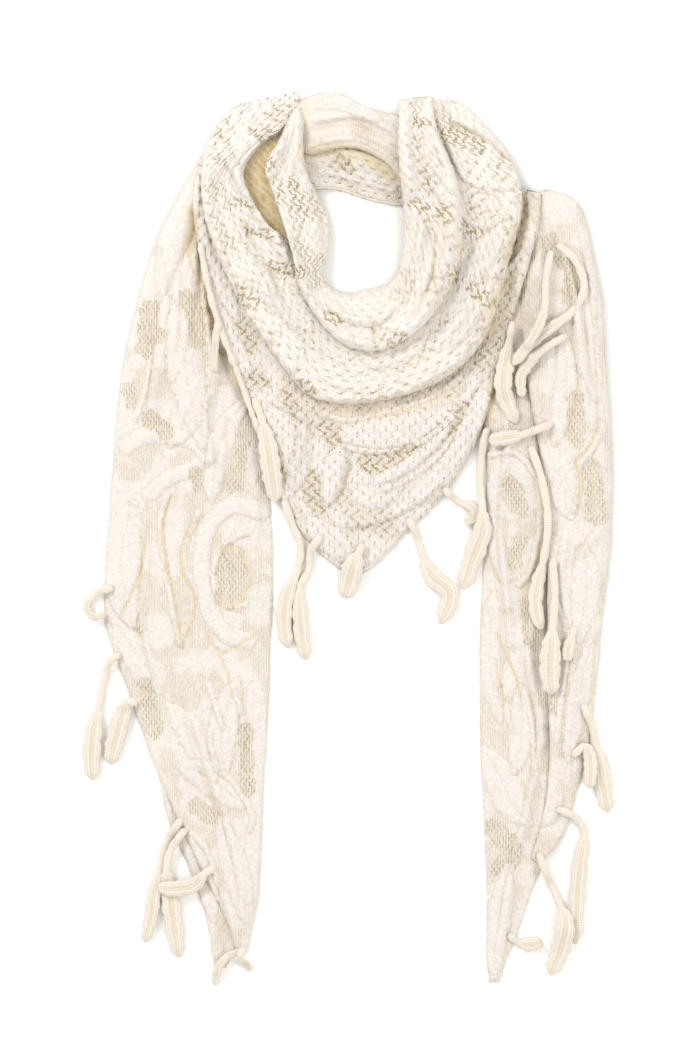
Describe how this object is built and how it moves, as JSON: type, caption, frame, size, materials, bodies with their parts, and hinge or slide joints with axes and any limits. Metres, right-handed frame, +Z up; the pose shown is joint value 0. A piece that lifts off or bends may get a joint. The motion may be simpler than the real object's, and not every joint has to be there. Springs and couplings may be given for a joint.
{
  "type": "lace shawl",
  "caption": "Triangular knitted lace shawl laid flat in a neck loop with two hanging ends, its hemmed edges trimmed with leaf drops on cords.",
  "frame": {"origin": "middle of the laid shawl's plan, on the surface that it lies on", "axes": "+Z up from the surface, +Y towards the back of the neck loop, +X to the right seen from above"},
  "size_m": [0.3969, 0.6695, 0.0415],
  "materials": {
    "cream_lace": "cream knitted lace, matt",
    "cream_lace_in_shade": "the same lace in the hidden layers of the loop, matt",
    "cream_knitted_drop": "cream ribbed knit of the leaf drops and their cords, matt"
  },
  "bodies": {
    "root": {"drop_left_curl": "cream_knitted_drop", "drop_left_long": "cream_knitted_drop", "drop_left_low_cross": "cream_knitted_drop", "drop_left_low_inner": "cream_knitted_drop", "drop_left_low_outer": "cream_knitted_drop", "drop_left_short": "cream_knitted_drop", "drop_left_tip_end": "cream_knitted_drop", "drop_left_tip_leaf": "cream_knitted_drop", "drop_point_cord": "cream_knitted_drop", "drop_point_flap": "cream_knitted_drop", "drop_point_left": "cream_knitted_drop", "drop_point_left_pair": "cream_knitted_drop", "drop_point_right": "cream_knitted_drop", "drop_point_right_curl": "cream_knitted_drop", "drop_point_tip": "cream_knitted_drop", "drop_right_cross": "cream_knitted_drop", "drop_right_flap": "cream_knitted_drop", "drop_right_groove": "cream_knitted_drop", "drop_right_leaf": "cream_knitted_drop", "drop_right_long": "cream_knitted_drop", "drop_right_loop": "cream_knitted_drop", "drop_right_loop_inner": "cream_knitted_drop", "drop_right_loop_low": "cream_knitted_drop", "drop_right_low": "cream_knitted_drop", "drop_right_low_small": "cream_knitted_drop", "drop_right_side": "cream_knitted_drop", "drop_right_side_inner": "cream_knitted_drop", "drop_right_tip_cross": "cream_knitted_drop", "drop_right_top": "cream_knitted_drop", "hidden_layers": "cream_lace_in_shade", "inner_swag": "cream_lace", "left_end": "cream_lace", "left_end_under": "cream_lace", "middle_swag": "cream_lace", "neck_back_inner": "cream_lace", "neck_back_outer": "cream_lace", "point_drape": "cream_lace", "right_end_inner": "cream_lace", "right_end_outer": "cream_lace"}
  },
  "joints": []
}
